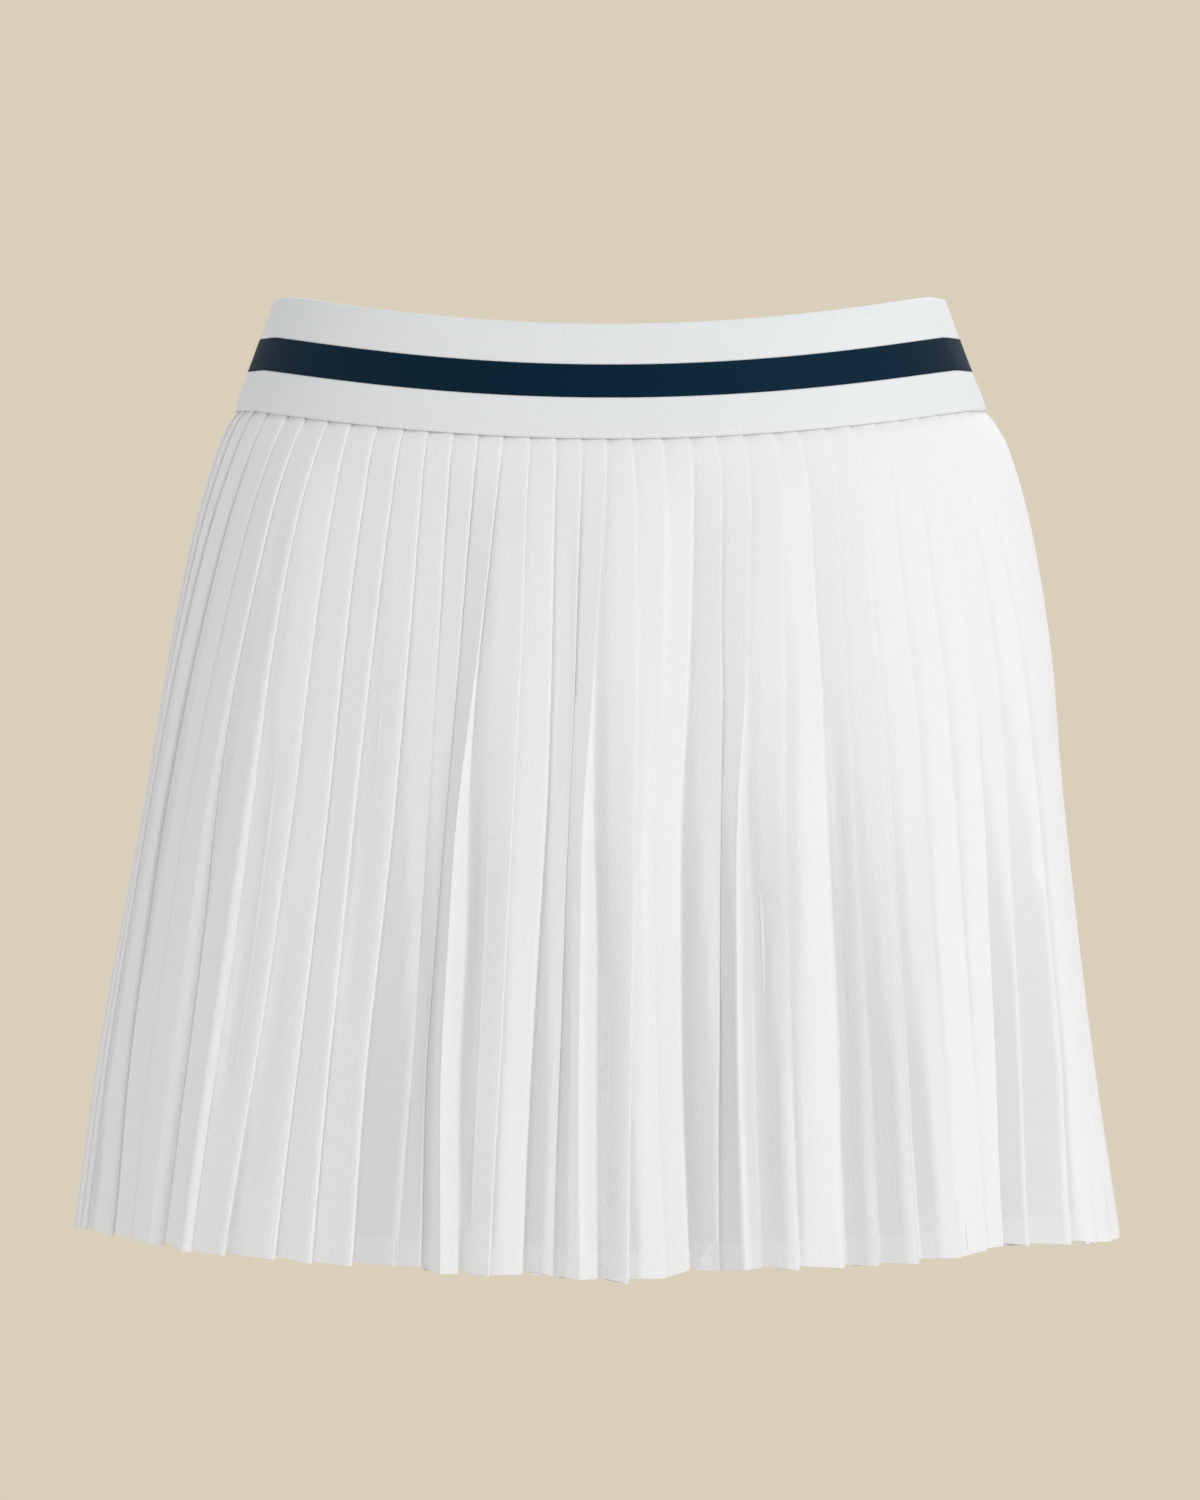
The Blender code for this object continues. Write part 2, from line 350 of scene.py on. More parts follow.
@dataclass(frozen=True)
class PoplinFinish(ClothFinish):
    """Bleached cotton-blend poplin, plain woven and ironed into pleats: matt white with fine upright slubs.
    """

    name: str = "bleached_poplin"
    colour: str = "#e7e8ea"
    roughness: float = 0.88
    relief: float = 0.3
    relief_depth: float = 0.5
    sheen: float = 0.05
    shade: str = "#e2e3e5"
    # The painted shade that a lone layer of cloth gets.
    single: str = "#d4d6d8"
    # Painted shade: each fold's outer edge is painted a little darker than the face, to tone down its
    # highlight.
    pressed: str = "#e0e2e4"
    pleat: float = 33.75
    fold_place: float = 0.455
    fold_width: float = 0.75
    fold_fades: tuple[float, float] = (0.5, 1.6)
    slub_width: float = 1.0
    slub_length: float = 5.0
    grain: float = 1.5

    def pattern(self, tree: NodeTree, shader: Node, place: NodeSocket) -> NodeSocket:
        """Draws slubs and a coarse grain of yarns, tints the slubs, paints grey shade where only one layer
        of cloth lies, and paints each fold's edge a little darker.
        """
        slub_scale = (1 / (self.slub_width * MM), 1 / (self.slub_length * MM), 1.0)
        slub_place = add_node(tree, "ShaderNodeMapping", {"Scale": slub_scale}, {"Vector": place})
        slubs = add_node(
            tree,
            "ShaderNodeTexNoise",
            {"noise_dimensions": "2D", "Scale": 1.0, "Detail": 3.0, "Roughness": 0.6},
            {"Vector": slub_place.outputs["Vector"]},
        )
        # The yarns are 0.2 mm apart, too fine to show, so the grain is drawn at 1.5 mm.
        grain = add_node(
            tree,
            "ShaderNodeTexNoise",
            {"noise_dimensions": "2D", "Scale": 1 / (self.grain * MM), "Detail": 2.0, "Roughness": 0.7},
            {"Vector": place},
        )
        tint = add_node(
            tree,
            "ShaderNodeMix",
            {"data_type": "RGBA", MIX_A: linear_colour(self.shade), MIX_B: linear_colour(self.colour)},
            {"Factor": slubs.outputs["Fac"]},
        )
        # Painted shade: cloth with no layer behind it, mostly at each face's start under the fold before it,
        # is painted greyer, as if the shaded inside showed through.
        layers = add_node(tree, "ShaderNodeAttribute", {"attribute_name": SHADE_MASK})
        layer_shade = add_node(
            tree,
            "ShaderNodeMix",
            {"data_type": "RGBA", MIX_A: linear_colour(self.single)},
            {"Factor": layers.outputs["Fac"], MIX_B: tint.outputs[MIXED]},
        )
        whole = add_node(
            tree,
            "ShaderNodeMix",
            {"data_type": "RGBA", MIX_B: linear_colour(self.pressed)},
            {"Factor": self.pressed_edges(tree, place), MIX_A: layer_shade.outputs[MIXED]},
        )
        tree.links.new(whole.outputs[MIXED], shader.inputs["Base Color"])
        heights = {0: slubs.outputs["Fac"], 1: grain.outputs["Fac"]}
        return add_node(tree, "ShaderNodeMath", {"operation": "ADD"}, heights).outputs["Value"]

    def pressed_edges(self, tree: NodeTree, place: NodeSocket) -> NodeSocket:
        """Draws a painted shade line on each fold's outer edge, which tones down the highlight that the edge
        catches.

        Args:
            tree: The material's tree.
            place: The place on the flat cloth.

        Returns:
            A socket that is 1 on a fold and 0 on the faces.
        """
        aside = add_node(tree, "ShaderNodeSeparateXYZ", None, {"Vector": place}).outputs["X"]
        steps = {"DIVIDE": self.pleat * MM, "FRACT": 0.0, "SUBTRACT": self.fold_place, "ABSOLUTE": 0.0}
        for operation, value in steps.items():
            settings = {"operation": operation, 1: value}
            aside = add_node(tree, "ShaderNodeMath", settings, {0: aside}).outputs["Value"]
        near, far = (share * self.fold_width / 2 / self.pleat for share in self.fold_fades)
        ends = {"From Min": near, "From Max": far, "To Min": 1.0, "To Max": 0.0}
        fade = {"interpolation_type": "SMOOTHSTEP"} | ends
        return add_node(tree, "ShaderNodeMapRange", fade, {"Value": aside}).outputs["Result"]


@dataclass(frozen=True)
class ElasticFinish(ClothFinish):
    """Woven polyester elastic: close upright ribs of covered rubber, a touch smoother than the poplin."""

    name: str = "ribbed_elastic"
    colour: str = "#dde0e2"
    roughness: float = 0.6
    relief: float = 0.16
    relief_depth: float = 0.4
    rib: float = 1.15
    weft: float = 1.4

    def pattern(self, tree: NodeTree, shader: Node, place: NodeSocket) -> NodeSocket:
        """Draws upright ribs, crossed by the weft's faint unevenness."""
        bands = {"wave_type": "BANDS", "bands_direction": "X", "Scale": wave_scale(self.rib)}
        ribs = add_node(tree, "ShaderNodeTexWave", bands, {"Vector": place})
        uneven = {"noise_dimensions": "2D", "Scale": 1 / (self.weft * MM), "Detail": 2.0}
        weft = add_node(tree, "ShaderNodeTexNoise", uneven, {"Vector": place})
        heights = {0: ribs.outputs["Fac"], 1: weft.outputs["Fac"]}
        return add_node(tree, "ShaderNodeMath", {"operation": "ADD"}, heights).outputs["Value"]


@dataclass(frozen=True)
class TwillFinish(ClothFinish):
    """Navy twill woven into the elastic: fine slanting wales with painted highlights on their crowns, whose
    gloss catches a little blue light.
    """

    name: str = "navy_twill"
    colour: str = "#010a10"
    roughness: float = 0.64
    relief: float = 0.35
    relief_depth: float = 0.3
    specular: float = 0.36
    # Painted highlight: the wales' crowns are painted this lighter navy.
    light: str = "#071f2f"
    gloss: str = "#62b4f4"
    wale: float = 1.1
    slant: float = 30.0

    def pattern(self, tree: NodeTree, shader: Node, place: NodeSocket) -> NodeSocket:
        """Draws wales rising to the right, with a painted highlight on their crowns."""
        turn = {"Rotation": (0.0, 0.0, math.radians(-self.slant))}
        turned = add_node(tree, "ShaderNodeMapping", turn, {"Vector": place})
        # Real wales are 0.6 mm apart. They are drawn wider so that they show.
        bands = {"wave_type": "BANDS", "bands_direction": "Y", "Scale": wave_scale(self.wale)}
        uneven = {"Distortion": 0.6, "Detail": 2.0}
        wales = add_node(tree, "ShaderNodeTexWave", bands | uneven, {"Vector": turned.outputs["Vector"]})
        tint = add_node(
            tree,
            "ShaderNodeMix",
            {"data_type": "RGBA", MIX_A: linear_colour(self.colour), MIX_B: linear_colour(self.light)},
            {"Factor": wales.outputs["Fac"]},
        )
        tree.links.new(tint.outputs[MIXED], shader.inputs["Base Color"])
        shader.inputs["Specular Tint"].default_value = linear_colour(self.gloss)
        return wales.outputs["Fac"]


@dataclass(frozen=True)
class JerseyFinish(ClothFinish):
    """White stretch jersey: soft, matt, with the fine upright wales of a plain knit."""

    name: str = "stretch_jersey"
    colour: str = "#eeeff0"
    roughness: float = 0.9
    relief: float = 0.2
    relief_depth: float = 0.3
    sheen: float = 0.15
    wale: float = 1.2

    def pattern(self, tree: NodeTree, shader: Node, place: NodeSocket) -> NodeSocket:
        """Draws the knit's wales, at twice their real spacing so that they show."""
        bands = {"wave_type": "BANDS", "bands_direction": "X", "Scale": wave_scale(self.wale)}
        uneven = {"Distortion": 0.5, "Detail": 1.0}
        return add_node(tree, "ShaderNodeTexWave", bands | uneven, {"Vector": place}).outputs["Fac"]


@dataclass(frozen=True)
class ThreadFinish(ClothFinish):
    """Spun polyester thread: white, with a little more gloss than the cloth."""

    name: str = "polyester_thread"
    colour: str = "#f4f5f6"
    roughness: float = 0.55
    relief: float = 0.2
    relief_depth: float = 0.1
    specular: float = 0.5
    twist: float = 0.6

    def place(self, tree: NodeTree) -> NodeSocket:
        """The place in the piece, since thread has no flat form."""
        return add_node(tree, "ShaderNodeTexCoord").outputs["Object"]

    def pattern(self, tree: NodeTree, shader: Node, place: NodeSocket) -> NodeSocket:
        """Draws the thread's twist as a fine grain."""
        grain = {"Scale": 1 / (self.twist * MM), "Detail": 1.0}
        return add_node(tree, "ShaderNodeTexNoise", grain, {"Vector": place}).outputs["Fac"]


# --- Cloth sheets ---


@dataclass(frozen=True)
class Wall:
    """A sheet's thickness, the share of it that rows above its thick edge have, and that edge's rows."""

    thickness: float
    thin_share: float = 1.0
    thick_rows: int = 0


def flat_row(across: np.ndarray, up: float) -> np.ndarray:
    """A row's places on the flat cloth, each so far across it and all so far up it."""
    return np.stack([across, np.full(len(across), up)], axis=-1)


def make_sheet(
    name: str,
    points: np.ndarray,
    flat: np.ndarray,
    wall: Wall | None,
    shade_spared: np.ndarray | None = None,
) -> Object:
    """Makes a cloth piece from a grid whose vertices are moved to their places.

    Args:
        name: The piece's name.
        points: Rows of points in millimetres, from the lowest row up, each from left to right seen from
            outside.
        flat: Where each point lies on the flat cloth, in millimetres.
        wall: The thickness, grown inwards, or None where the rows close into a solid ring.
        shade_spared: How far each point is spared the painted shade of a lone layer, from 0 (painted grey)
            to 1.

    Returns:
        The object, with its UV map and smooth shading.
    """
    rows, columns = points.shape[:2]
    bm = bmesh.new()
    bmesh.ops.create_grid(bm, x_segments=columns - 1, y_segments=rows - 1, size=1.0)
    bm.verts.ensure_lookup_table()
    for vert, point in zip(bm.verts, points.reshape(-1, 3)):
        vert.co = Vector(point) * MM
    if shade_spared is not None:
        layer = bm.verts.layers.float.new(SHADE_MASK)
        for vert, share in zip(bm.verts, shade_spared.reshape(-1)):
            vert[layer] = share
    uv = bm.loops.layers.uv.new(CLOTH_MAP)
    on_cloth = flat.reshape(-1, 2) * MM
    for face in bm.faces:
        for loop in face.loops:
            loop[uv].uv = on_cloth[loop.vert.index]
    bmesh.ops.remove_doubles(bm, verts=bm.verts, dist=TOUCHING)
    if wall is None:
        bmesh.ops.recalc_face_normals(bm, faces=bm.faces)
    piece = add_mesh(name, bm)
    piece.data.shade_smooth()
    if wall:
        thicken(piece, wall, columns)
    return piece


def thicken(piece: Object, wall: Wall, columns: int) -> None:
    """Grows a sheet's wall inwards, and keeps its rims crisp.

    Args:
        piece: The sheet.
        wall: Its thickness, and how many of its lowest rows have all of it.
        columns: How many points a row has.
    """
    solid = piece.modifiers.new("cloth_wall", "SOLIDIFY")
    solid.thickness = wall.thickness * MM
    solid.offset = -1.0
    if wall.thick_rows:
        group = piece.vertex_groups.new(name="turn_up")
        group.add(list(range(wall.thick_rows * columns)), 1.0, "REPLACE")
        solid.vertex_group = group.name
        solid.thickness_vertex_group = wall.thin_share
    graph = bpy.context.evaluated_depsgraph_get()
    walled = bpy.data.meshes.new_from_object(piece.evaluated_get(graph))
    piece.modifiers.clear()
    piece.vertex_groups.clear()
    piece.data = walled
    walled.set_sharp_from_angle(angle=math.radians(CRISP_ANGLE))


def dress(piece: Object, material: Material, node: str | None = None) -> None:
    """Gives a piece its material and its place in the frame.

    Args:
        piece: The finished piece.
        material: Its finish.
        node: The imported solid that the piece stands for, if it stands for one.
    """
    piece.data.materials.clear()
    piece.data.materials.append(material)
    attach(piece, BODY)
    if node:
        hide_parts(node)


# --- The waistband ---


@dataclass(frozen=True)
class Waistband:
    """The wide elastic ring with its groove, the navy stripe that fills it, and the stitches at its edge."""

    depth: float = 46.5
    wall: float = 2.0
    stripe_top: float = 16.4
    stripe_bottom: float = 30.0
    stripe_wall: float = 0.8
    stripe_proud: float = 0.2
    stripe_cloth: float = 0.08
    gap: float = 0.3
    lip: float = 0.5
    lap_wall: float = 1.1
    taper: float = 0.7
    edge_round: float = 0.7
    sides: int = 360
    teeth: int = 640
    tooth: float = 0.45
    stitch: float = 2.6
    stitch_gap: float = 0.9
    stitch_up: float = 1.5
    stitch_out: float = -0.48
    stitch_bulge: float = 0.55
    thread: float = 0.13

    @property
    def girth(self) -> float:
        """The outline's length round the middle of the band."""
        return 2 * Outline.half_round(self.depth / 2)

    def section(self) -> list[tuple[float, float]]:
        """The elastic's section from its outer lower edge, up the outside, over and down the inside.

        Returns:
            Corners as a drop and a distance out of the outline.
        """
        groove = self.stripe_wall + self.gap - self.stripe_proud
        top, bottom = self.stripe_top + self.lip, self.stripe_bottom - self.lip
        soft, taper, edge, lap = self.edge_round, self.taper, self.depth, -self.lap_wall
        lower_edge = [(edge, -taper - 0.3), (edge - 0.3, -taper), (edge - 1.2, -0.85 * taper)]
        slope = [(edge - 3.2, -0.35 * taper), (edge - 6.0, 0.0)]
        groove_foot = [(bottom + 5.0, 0.0), (bottom + 1.2, 0.05), (bottom, 0.0), (bottom - 0.2, -groove)]
        groove_head = [(top + 0.2, -groove), (top, 0.0), (top - 1.2, 0.05), (top - 5.0, 0.0)]
        upper_edge = [(5.0, 0.0), (soft, -0.02), (0.3 * soft, -0.3 * soft), (0.0, -0.8 * soft)]
        inside = [(0.0, -self.wall + 0.4), (0.5, -self.wall), (16, -self.wall), (34, -self.wall)]
        lapped = [(37, lap), (edge - 3.2, lap), (edge, lap - 0.1)]
        return [*lower_edge, *slope, *groove_foot, *groove_head, *upper_edge, *inside, *lapped]

    def make_elastic(self, finish: ElasticFinish) -> Object:
        """Builds and dresses the elastic ring, by running its section round the waist.

        Args:
            finish: The elastic's finish.

        Returns:
            The object.
        """
        angles = np.linspace(-math.pi, math.pi, self.sides + 1)
        around = np.linspace(0.0, self.girth, self.sides + 1)
        section = self.section()
        rows, flat = [], []
        walked, last = 0.0, section[0]
        for drop, out in [*section, section[0]]:
            walked += math.hypot(drop - last[0], out - last[1])
            last = (drop, out)
            rows.append(Outline.place(drop, angles, out))
            flat.append(flat_row(around, walked))
        piece = make_sheet("band_elastic", np.array(rows), np.array(flat), None)
        dress(piece, finish.make(), "waistband")
        return piece

    def make_stripe(self, finish: TwillFinish) -> Object:
        """Builds and dresses the stripe, whose edges dip and have the small teeth of the elastic's ribs.

        Args:
            finish: The stripe's finish.

        Returns:
            The object.
        """
        steps = self.teeth * 2
        angles = np.linspace(-math.pi, math.pi, steps + 1)
        around = np.linspace(0.0, self.girth, steps + 1)
        teeth = np.where(np.arange(steps + 1) % 2 == 0, self.tooth, 0.0)
        rows, flat = [], []
        for share, inward in ((1.0, 1.0), (0.985, 0.0), (0.5, 0.0), (0.015, 0.0), (0.0, -1.0)):
            drop = self.stripe_top + (self.stripe_bottom - self.stripe_top) * share
            out = self.stripe_proud - self.stripe_cloth * abs(inward)
            rows.append(Outline.place(drop, angles, out, teeth * inward))
            flat.append(flat_row(around, -drop))
        piece = make_sheet("band_stripe", np.array(rows), np.array(flat), Wall(self.stripe_cloth))
        dress(piece, finish.make(), "waistband_stripe")
        return piece

    def make_stitches(self, finish: ThreadFinish) -> Object:
        """Builds and dresses the row of stitches that holds the band's lower edge on the skirt.

        Args:
            finish: The thread's finish.

        Returns:
            The object.
        """
        drop = self.depth - self.stitch_up
        whole = Outline.half_round(drop)
        count = round(whole / (self.stitch + self.stitch_gap))
        starts = np.arange(count) * whole / count
        bm = bmesh.new()
        for turn in (0.0, math.pi):
            ends = [Outline.angles_at(drop, starts + along) + turn for along in (0.0, self.stitch)]
            first, last = (Outline.place(drop, angles, self.stitch_out) for angles in ends)
            for start, end in zip(first, last):
                self.add_stitch(bm, Vector(start) * MM, Vector(end) * MM)
        piece = add_mesh("band_edge_stitches", bm)
        piece.data.shade_smooth()
        dress(piece, finish.make())
        return piece

    def add_stitch(self, bm: BMesh, start: Vector, end: Vector) -> None:
        """Adds one stitch, a short length of thread pulled in at both ends.

        Args:
            bm: The stitches' bmesh.
            start: Its one end in metres.
            end: Its other end.
        """
        along = end - start
        verts = bmesh.ops.create_icosphere(bm, subdivisions=1, radius=1.0)["verts"]
        size = Vector((along.length * self.stitch_bulge, self.thread * MM, self.thread * MM))
        bmesh.ops.scale(bm, vec=size, verts=verts)
        bmesh.ops.transform(bm, matrix=along.to_track_quat("X", "Z").to_matrix().to_4x4(), verts=verts)
        bmesh.ops.translate(bm, vec=(start + end) / 2, verts=verts)


# --- The pleated skirt ---


@dataclass(frozen=True)
class Pleat:
    """How one pleat falls. From seam to hem are how far its fold strays sideways from even spacing at five
    drops. Then come how far the fold stands out at the hem, how wide a strip of its turned-back side shows
    there, how much deeper the next face starts, how much higher it ends than an even hem, how far its fold
    fades, how much further over its face and strip the painted shade of a lone layer reaches than an even
    pleat's, and how far it stands out round the hips. A fade below 0 comes back by the hem.
    """

    number: int
    seam: float = 0.0
    high: float = 0.0
    middle: float = 0.0
    low: float = 0.0
    hem: float = 0.0
    out: float = 0.0
    strip: float = 0.0
    sink: float = 0.0
    rise: float = 0.0
    fade: float = 0.0
    bare: float = 0.0
    bulge: float = 0.0


FRONT_PLEATS = tuple(Pleat(*row) for row in (
    (0, 0, 0, 0, 0, 0, 0, 0, 0, 2),
    (1, 0, -3, -6, -2, -1, 0, 0, 0, 3.4, 0.4, -9),
    (2, 0, -5, -12, -4, -2, 0, 0, 0, 3.8, 0.4, -9),
    (3, 0, -6, -16, -7, -4, 1, 0, 0, 4.2, 0.3, -9),
    (4, 0, -4, -11, -1.5, 6.5, 2, 0, 0.5, 4.3, 0, -8),
    (5, 2, -0.5, -5, 0, 4, 1, 0, 0, 4.4, 0.9, -8, 1),
    (6, 1, 0.5, -5, 1, 1, 1.2, 3, 0.3, 3.2, 0, -9, 1.8),
    (7, 2, 2, 2.5, 4.5, 2, 1, 2, 0, 2.1, 0, -9, 1.6),
    (8, 2, 5, 8, 10, 4, -2, 0, 0, 2.3, 0.2, -9, -0.6),
    (9, 3, 6, 9.5, 14, 12, -2.5, 0, 0, 2.9, 0, -9, -1.7),
    (10, 3.5, 6, 7.5, 13, 13, -2, 0, 0, 2.6, 0, -6, -1.9),
    (11, 3, 8, 11.5, 14, 15, -1.2, 0, 0, 3, 0, -9, -2),
    (12, 2.5, 7, 12, 19, 18, -1.4, 0, 0, 4.2, 0.9, 9, -2),
    (13, 2, 4, 6, 9, 12, -1.6, 0, 0, 4.3, 0.8, 9, -1),
    (14, 1, 1, -2.5, 1, 5, 3, 5.5, 0, 2.2, 0, 4, 0.9),
    (15, 0.5, 3.5, 6, 9, 7, 2.5, 0, 0, 1.9, 0.3, -3, 2.6),
    (16, 0, 2, 5, 5, 3, -1.5, 0, 0, 2.8, 0, 0, 2.2),
    (17, -1, -1, 0, 1.5, -1, -1.2, 0, 0.2, 2.5, 0.9, 7, 3),
    (18, -2, -5, -8.5, -6, -6, 2.5, 6.2, 1, 1.2, 0, 5, 3.6),
    (19, -3, -3, -2, -1, -4, 0, 0, 0, -0.5, 0, 0, 3.4),
    (20, -2, -4, -9, -6, -5, -3, 0, 0, 1.2, 0.8, 0, 1.8),
    (21, -2, -6, -11, -11, -11.5, -4.5, 0, 1, 4.2, 0, 0, -0.8),
    (22, -2, -7.5, -9, -11, -16.5, -3.2, 0, 0, 3.8, 0.9, 9, 0.2),
    (23, -2, -9, -17.5, -20, -23, 1.8, 8, 0.5, 3.8, 0, 10, 1.2),
    (24, -1, -8.5, -12, -12, -16, -2.5, 0, 0, 2.3, 0, 6, 2.6),
    (25, -2, -7, -7, -7.5, -14, -2.5, 2.5, 1, 2.1, 0, -6, 0.6),
    (26, -1, -9, -11, -10, -15.5, -1.5, 2.5, 1, 1.8, 0, 7, 1.4),
    (27, -0.5, -9, -9, -10, -14.5, 0, 3, 0.5, 1.4, 0, 7, 1.6),
    (28, 0, -8, -6.5, -8, -11.5, 1, 0, 0, 2.2, 0.6, 3, 0.8),
    (29, 1, -6, -5, -9, -16, 2, 0, 0, 4.4, 0.6, -3, 0.2),
    (30, 0, -4, -4, -13, -25, 3, 0, 4.5, 5, -0.6, 0, 0.2),
    (31, 0, -3, -4, -14, -28, 3.5, 0, 3.5, 4, -0.9, 13),
    (32, 0, 0, 2, -4.5, -20, 4.5, 0, 0.5, 2, -0.9, 13),
    (33, 0, 1, 4, -2, -14, 3, 0, 0.5, 0.5, 0.7, -3),
    (34, 0, 1, 2, -2, -9, 1.5, 0, 0, -1, 0.5, -9),
    (35, 0, 0, 1, -1, -4, 0.5, 0, 0, -1, 0.5, -9),
    (36,),
))
BACK_PLEATS = tuple(Pleat(*row) for row in (
    (0,),
    (1, 0, -1, -2, -2, -2, 0, 0, 0, 0.5, 0.3),
    (2, 0, -1, -2.5, -3, -3, 0.5, 0, 0, 0.8, 0.3, -4),
    (3, 0.5, 1, -1, 0.5, 2, 1.5, 0, 1.5, 1.4, 0, 0, 0.6),
    (4, 1, 2, 2.5, 3.5, 5, 1, 0, 0, 2, 0.5, 5, 1.2),
    (5, 1, 3, 5, 7, 8, -1.5, 0, 1.5, 2.6, 0, 7, -0.8),
    (6, 1, 2, 1.5, 3, 4, -1, 0, 0.5, 3, 0.4, 6, -1.4),
    (7, 0.5, -1, -3, -3, -2, 3, 5, 0.5, 1.6, 0, 0, 0.4),
    (8, 1, 1, 1.5, 1.5, 1, 1.5, 0, 0, 1.8, 0, -4, -0.4),
    (9, 1, 2, 3, 3.5, 3, 0.5, 0, 0.5, 2.2, 0, -6, -0.8),
    (10, 1.5, 3, 5, 6, 6, 1, 0, 0, 2.6, 0.5, 0, 1),
    (11, 2, 4, 7, 10, 11, 0, 0, 1, 3, 0, 4, 1.4),
    (12, 1, 3, 4, 6.5, 8, -1.5, 0, 1.5, 3.4, 0.5, 8, -0.6),
    (13, 0, -1, -4, -4.5, -4, 3, 7, 1, 1.6, 0, 3, 0.2),
    (14, 0, 1, 1, 1.5, 2, 0, 0, 0, 1.4, 0, -4, 0.6),
    (15, 0, 1, 1.5, 1.5, 1, -2, 0, 0.8, 2.2, 0.3, 0, -1.4),
    (16, -1, -1, -1.5, -2.5, -3, -1, 0, 0.5, 2.6, 0, 6, -1),
    (17, -1, -2, -3, -5, -6, 0.8, 0, 0, 2.2, 0.7, 7, 0.8),
    (18, -1, -2, -4, -6, -7, 0.5, 0, 1, 2.8, 0, 0, 0.2),
    (19, -1.5, -4, -6.5, -9.5, -11, -1.5, 0, 1, 3.6, 0, 7, -0.4),
    (20, -1, -5, -9, -12.5, -14, 3, 6, 0.5, 1.6, 0, 5, 1.4),
    (21, 0, -3, -4, -5.5, -6, 1, 0, 0, 1.2, 0, -5, 0.8),
    (22, 0, -1, -1.5, -3, -4, -1.5, 0, 0, 2, 0.7, -3, -1.2),
    (23, 0, 0, 1.5, 2, 2, -2, 0, 1, 2.8, 0, 5, -0.4),
    (24, 1, 2, 4, 5.5, 6, 0, 0, 0.6, 3, 0, 6, 0.4),
    (25, 1, 3, 5.5, 8, 9, 1.5, 0, 0, 2.6, 0.4, 0, -1.2),
    (26, 1, 2, 2.5, 4, 5, -1, 0, 1.5, 3.4, 0, 6, -0.2),
    (27, 0, -2, -4, -5.5, -6, 3, 5, 0.5, 1.6, 0, 4, 1.5),
    (28, 0, 0, 1, 1.5, 2, 1.5, 0, 0.5, 1.4, 0, -4, 0.4),
    (29, 0, 1, 2.5, 4, 5, 1, 0, 0.6, 1.8, 0, -6, -0.4),
    (30, 0, 2, 3, 6, 8, -0.5, 0, 0, 2.2, 0.6, 5, 1),
    (31, 0, 1, 2.5, 5, 7, -1, 0, 1.2, 2.8, 0, 6, -0.2),
    (32, 0, 0, 1, 1.5, 2, 1, 0, 0.5, 2.4, 0, 0, -1.5),
    (33, 0, -1, -1.5, -2.5, -3, 2.5, 3, 0.5, 1.6, 0, -3),
    (34, 0, 0, 0, 0, 0, 1.5, 0, 0, 1.6, 0.2),
    (35, 0, 0, 0, 0, 0, 0.5, 0, 0, 1.8, 0.2),
    (36, 0, 0, 0, 0, 0, 0, 0, 0, 2),
))


@dataclass(frozen=True)
class Crease:
    """A soft ridge or, with a negative depth, trough down one face: its pleat, the share of the face's width
    where it lies, its depth, and the drops between which it shows."""

    number: int
    at: float
    depth: float
    start: float
    end: float


FRONT_CREASES = tuple(Crease(*row) for row in (
    (4, 0.3, -1.2, 130, 330),
    (5, 0.3, -1.0, 110, 300),
    (7, 0.4, -0.8, 60, 170),
    (8, 0.25, -1.6, 150, 330),
    (9, 0.25, -1.0, 220, 370),
    (11, 0.3, -1.2, 110, 300),
    (15, 0.3, 0.8, 60, 150),
    (15, 0.25, -1.2, 150, 380),
    (16, 0.35, 0.9, 230, 384),
    (17, 0.6, -0.8, 60, 200),
    (19, 0.3, -0.9, 230, 384),
    (20, 0.4, 0.8, 120, 384),
    (22, 0.5, 0.8, 180, 384),
    (24, 0.3, -1.0, 190, 384),
    (25, 0.4, 0.7, 120, 384),
    (26, 0.4, -0.8, 150, 330),
    (28, 0.5, 0.6, 260, 384),
    (30, 0.5, 0.7, 240, 384),
    (32, 0.4, -1.0, 220, 384),
))
BACK_CREASES = tuple(Crease(*row) for row in (
    (3, 0.3, -1.0, 130, 330),
    (5, 0.5, 0.8, 220, 384),
    (8, 0.3, -1.4, 150, 340),
    (11, 0.4, -0.8, 200, 384),
    (14, 0.3, -1.2, 160, 384),
    (15, 0.4, 0.9, 230, 384),
    (17, 0.5, 0.7, 120, 360),
    (19, 0.5, -0.8, 180, 384),
    (21, 0.3, -1.2, 160, 384),
    (23, 0.45, 0.7, 180, 340),
    (26, 0.5, -0.8, 120, 280),
    (28, 0.3, -1.2, 190, 384),
    (31, 0.5, 0.8, 220, 384),
    (34, 0.4, -0.8, 220, 384),
))


class Panel(Enum):
    """The skirt's two panels: the name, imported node, turn round the body, pleats and creases of each."""

    FRONT = ("pleats_front", "skirt_front", 0.0, FRONT_PLEATS, FRONT_CREASES)
    BACK = ("pleats_back", "skirt_back", math.pi, BACK_PLEATS, BACK_CREASES)


